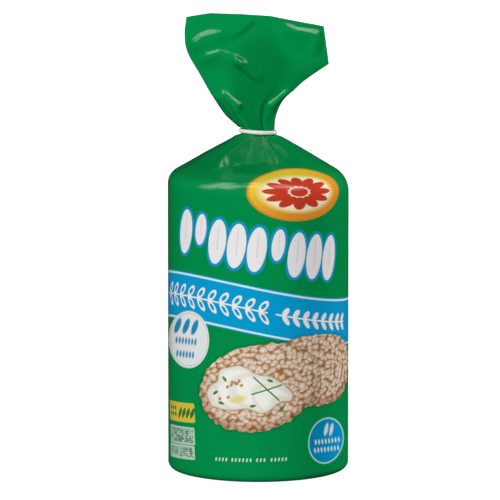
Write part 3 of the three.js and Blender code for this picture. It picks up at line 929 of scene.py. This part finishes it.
def tied_wire(add, given):
    """A coated wire's loop in a tilted plane, with its two ends twisted round each other."""
    section = add("GeometryNodeCurvePrimitiveCircle", {"Resolution": 16, "Radius": 1.0})
    section_size = add("CombineXYZ", [given["Half thickness"], given["Half height"], 1.0])
    section = add("GeometryNodeTransform", {"Geometry": section, "Scale": section_size})
    loop = add("GeometryNodeCurvePrimitiveCircle", {"Resolution": 120, "Radius": given["Radius"]})
    spot = add("SeparateXYZ", [add("GeometryNodeInputPosition")]).node.outputs
    fall = add("Math MULTIPLY", [spot[0], given["Rise left"]])
    fall = add("Math MULTIPLY_ADD", [spot[1], given["Rise front"], fall])
    lift = add("Math SUBTRACT", [given["Height"], fall])
    lift = add("CombineXYZ", {2: lift})
    loop = add("GeometryNodeSetPosition", {"Geometry": loop, "Offset": lift})
    loop = add("GeometryNodeCurveToMesh", {"Curve": loop, "Profile Curve": section})

    thinning = 0.92
    thin = add("Math MULTIPLY", [given["Half thickness"], thinning])
    round_section = add("GeometryNodeCurvePrimitiveCircle", {"Resolution": 12, "Radius": thin})
    helix = add("GeometryNodeCurveSpiral", {
        "Resolution": 40, "Rotations": given["Twist turns"], "Start Radius": thin, "End Radius": thin,
        "Height": given["Twist length"]})
    swept = {"Curve": helix, "Profile Curve": round_section, "Fill Caps": True}
    one = add("GeometryNodeCurveToMesh", swept)
    other = add("GeometryNodeTransform", {"Geometry": one, "Rotation": (0, 0, math.pi)})
    ends = add("GeometryNodeJoinGeometry", [[one, other]])
    back = add("Math MULTIPLY", [given["Radius"], given["Rise front"]])
    back = add("Math SUBTRACT", [given["Height"], back])
    start = add("CombineXYZ", {1: given["Radius"], 2: back})
    turn = add("Math SUBTRACT", [-math.pi / 2, given["Twist droop"]])
    turn = add("CombineXYZ", [turn])
    ends = add("GeometryNodeTransform", {"Geometry": ends, "Translation": start, "Rotation": turn})
    both = add("GeometryNodeJoinGeometry", [[loop, ends]])
    return add("GeometryNodeSetShadeSmooth", [both])


# Soft PVC over steel wire: white, a little waxy, with a slightly uneven skin.
wire = clouded_material("PVC-coated wire", 0.38, 1.53, 700.0, 2.0, "e4e8e4", "f2f4f0", 0.00005)
tie = grown("coated_wire_tie", tied_wire, wire, {
    "Radius": TIE_RADIUS * MM, "Half thickness": TIE_HALF_THICKNESS * MM,
    "Half height": TIE_HALF_HEIGHT * MM, "Height": TIE_HEIGHT * MM,
    "Rise left": TIE_RISE_LEFT, "Rise front": TIE_RISE_FRONT,
    "Twist length": TWIST_LENGTH * MM, "Twist turns": TWIST_TURNS, "Twist droop": TWIST_DROOP,
})
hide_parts("tie")
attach(tie, "root")

SEAL_HALF_WIDTH, SEAL_RISE, SEAL_SUNK = 5.5, 0.45, 0.4
SEAL_FOOT, SEAL_TOP, SEAL_NARROW_FROM, SEAL_NARROW_TO = 8.0, 185.0, 150.0, 0.45
SEAL_COLUMNS, SEAL_ROWS = 11, 560
CRIMP_PITCH, CRIMP_DEPTH = 1.8, 0.16


def crimped_strip(add, given):
    """A strip up the film's back. Its face stands off the film, its rim and underside lie under it."""
    width = add("Math MULTIPLY", [given["Half width"], 2.0])
    length = add("Math SUBTRACT", [given["Top"], given["Foot"]])
    middle = add("Math MULTIPLY_ADD", [length, 0.5, given["Foot"]])
    grid = add("GeometryNodeMeshGrid", [width, length, SEAL_COLUMNS, SEAL_ROWS]).node.outputs
    middle = add("CombineXYZ", {2: middle})
    strip = add("GeometryNodeTransform", {
        "Geometry": grid[0], "Translation": middle, "Rotation": (-math.pi / 2, 0, 0)})
    spot = add("SeparateXYZ", [add("GeometryNodeInputPosition")]).node.outputs
    narrow = add("MapRange", {
        "Value": spot[2], "From Min": given["Narrow from"], "From Max": given["Top"],
        "To Min": 1.0, "To Max": given["Narrow to"]})
    across = add("Math MULTIPLY", [spot[0], narrow])
    far_behind, ray_length, rim, merging = 0.2, 1.0, 0.0005, 0.00001
    behind = add("CombineXYZ", [across, far_behind, spot[2]])
    target = add("GeometryNodeObjectInfo", {"Object": given["Film"]}).node.outputs["Geometry"]
    hit = add("GeometryNodeRaycast", {
        "Target Geometry": target, "Source Position": behind, "Ray Direction": (0, -1, 0),
        "Ray Length": ray_length}).node.outputs
    turns = add("Math DIVIDE", [spot[2], given["Crimp pitch"]])
    turns = add("Math MULTIPLY", [turns, 2 * math.pi])
    crimps = add("Math SINE", [turns])
    face = add("Math MULTIPLY_ADD", [crimps, given["Crimp depth"], given["Rise"]])
    parts = add("SeparateXYZ", [grid["UV Map"]]).node.outputs
    from_rim = add("Math MINIMUM", [add("Math PINGPONG", [part, 0.5]) for part in parts[:2]])
    within = add("Math GREATER_THAN", [from_rim, rim])
    under = add("Math MULTIPLY", [given["Sunk"], -1.0])
    face = add("Mix", {0: within, 2: under, 3: face})
    sides = []
    for lift in (face, under):
        out = add("VectorMath SCALE", {0: hit["Hit Normal"], "Scale": lift})
        place = add("VectorMath ADD", [hit["Hit Position"], out])
        sides.append(add("GeometryNodeSetPosition", {"Geometry": strip, "Position": place}))
    sides[1] = add("GeometryNodeFlipFaces", [sides[1]])
    both = add("GeometryNodeJoinGeometry", [sides])
    return add("GeometryNodeMergeByDistance", {"Geometry": both, "Distance": merging})


# Film melted to itself under a crimping bar: a denser green, duller than the rest.
sealed_film = clouded_material("heat-sealed film", 0.34, 1.49, 120.0, 2.0, "007c3f", "018a49")
seal = grown("back_seal", crimped_strip, sealed_film, {
    "Half width": SEAL_HALF_WIDTH * MM, "Foot": SEAL_FOOT * MM, "Top": SEAL_TOP * MM,
    "Narrow from": SEAL_NARROW_FROM * MM, "Narrow to": SEAL_NARROW_TO, "Rise": SEAL_RISE * MM,
    "Sunk": SEAL_SUNK * MM, "Crimp pitch": CRIMP_PITCH * MM, "Crimp depth": CRIMP_DEPTH * MM,
    "Film": film,
})
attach(seal, "root")

# ---- floor and light ----
def add_floor():
    """A white light table, which no shadow darkens much."""
    mesh = bpy.data.meshes.new("floor")
    mesh.from_pydata([(-6, -6, 0), (6, -6, 0), (6, 6, 0), (-6, 6, 0)], [], [(0, 1, 2, 3)])
    material, _ = new_material(
        "lit white acrylic", Base_Color=srgb("c8c8c8"), Roughness=0.9, Emission_Color=srgb("ffffff"),
        Emission_Strength=0.86,
    )
    mesh.materials.append(material)
    floor = add_piece("floor", mesh)
    floor.visible_glossy = False
    floor.visible_diffuse = False
    floor.visible_shadow = False


def add_light(name, kind, azimuth, elevation, energy, **settings):
    """A light that faces the bag's middle. Azimuth runs from the front towards +X."""
    middle, distance = Vector((0, 0, 0.15)), 1.2
    light = bpy.data.lights.new(name, kind)
    light.energy = energy
    for setting, value in settings.items():
        setattr(light, setting, value)
    lamp = bpy.data.objects.new(name, light)
    a, e = math.radians(azimuth), math.radians(elevation)
    out = Vector((math.sin(a) * math.cos(e), -math.cos(a) * math.cos(e), math.sin(e)))
    lamp.location = middle + distance * out
    lamp.rotation_euler = (-out).to_track_quat("-Z", "Y").to_euler()
    bpy.context.scene.collection.objects.link(lamp)
    return lamp


def add_sky():
    """A white surround, dim where it lights the film and dark where the film would mirror it."""
    world = bpy.data.worlds.new("studio")
    bpy.context.scene.world = world
    world.use_nodes = True
    tree = world.node_tree
    background = next(n for n in tree.nodes if n.type == "BACKGROUND")
    add = adder(tree)
    ray = add("LightPath").node.outputs
    lit, mirrored, seen = 0.09, -0.08, 0.91
    strength = add("Math MULTIPLY_ADD", [ray["Is Glossy Ray"], mirrored, lit])
    strength = add("Math MULTIPLY_ADD", [ray["Is Camera Ray"], seen, strength])
    tree.links.new(strength, background.inputs["Strength"])
    background.inputs["Color"].default_value = (1, 1, 1, 1)


add_floor()
add_sky()
for name, azimuth, elevation, energy in (
    ("front", -15, 22, 2.85), ("behind_right", 128, 15, 4.4), ("behind_left", -125, 10, 1.2),
):
    sun = add_light(name, "SUN", azimuth, elevation, energy, angle=math.radians(30))
    sun.visible_glossy = False
    sun.data.cycles.use_multiple_importance_sampling = False
for name, azimuth, elevation, energy, size in (
    ("softbox_left", -59, 54, 4.2, 0.6), ("softbox_low_left", -74, 34, 1.2, 0.4),
    ("softbox_right", 63, 48, 1.8, 0.4), ("softbox_over_left", -12, 68, 0.9, 0.3),
    ("softbox_over_right", 50, 62, 1.5, 0.4), ("softbox_top_left", -85, 70, 0.4, 0.2),
    ("softbox_top", -27, 87, 0.45, 0.2),
):
    softbox = add_light(name, "AREA", azimuth, elevation, energy, shape="SQUARE", size=size)
    softbox.visible_diffuse = False
bpy.context.scene.view_settings.view_transform = "Standard"

# ---- camera ----
CAMERA_ELEVATION = math.radians(8.62)
CAMERA_DISTANCE = 4000
CAMERA_LENS = 520.6
CAMERA_TARGET = Vector((-4.55, 0, 121.97))


def add_camera():
    camera = bpy.data.objects.new("camera", bpy.data.cameras.new("camera"))
    camera.data.lens = CAMERA_LENS
    camera.data.sensor_width = 36
    camera.data.clip_end = 50
    back = Vector((0, -math.cos(CAMERA_ELEVATION), math.sin(CAMERA_ELEVATION)))
    camera.location = (CAMERA_TARGET + CAMERA_DISTANCE * back) * MM
    camera.rotation_euler = (-back).to_track_quat("-Z", "Y").to_euler()
    bpy.context.scene.collection.objects.link(camera)
    bpy.context.scene.camera = camera


add_camera()
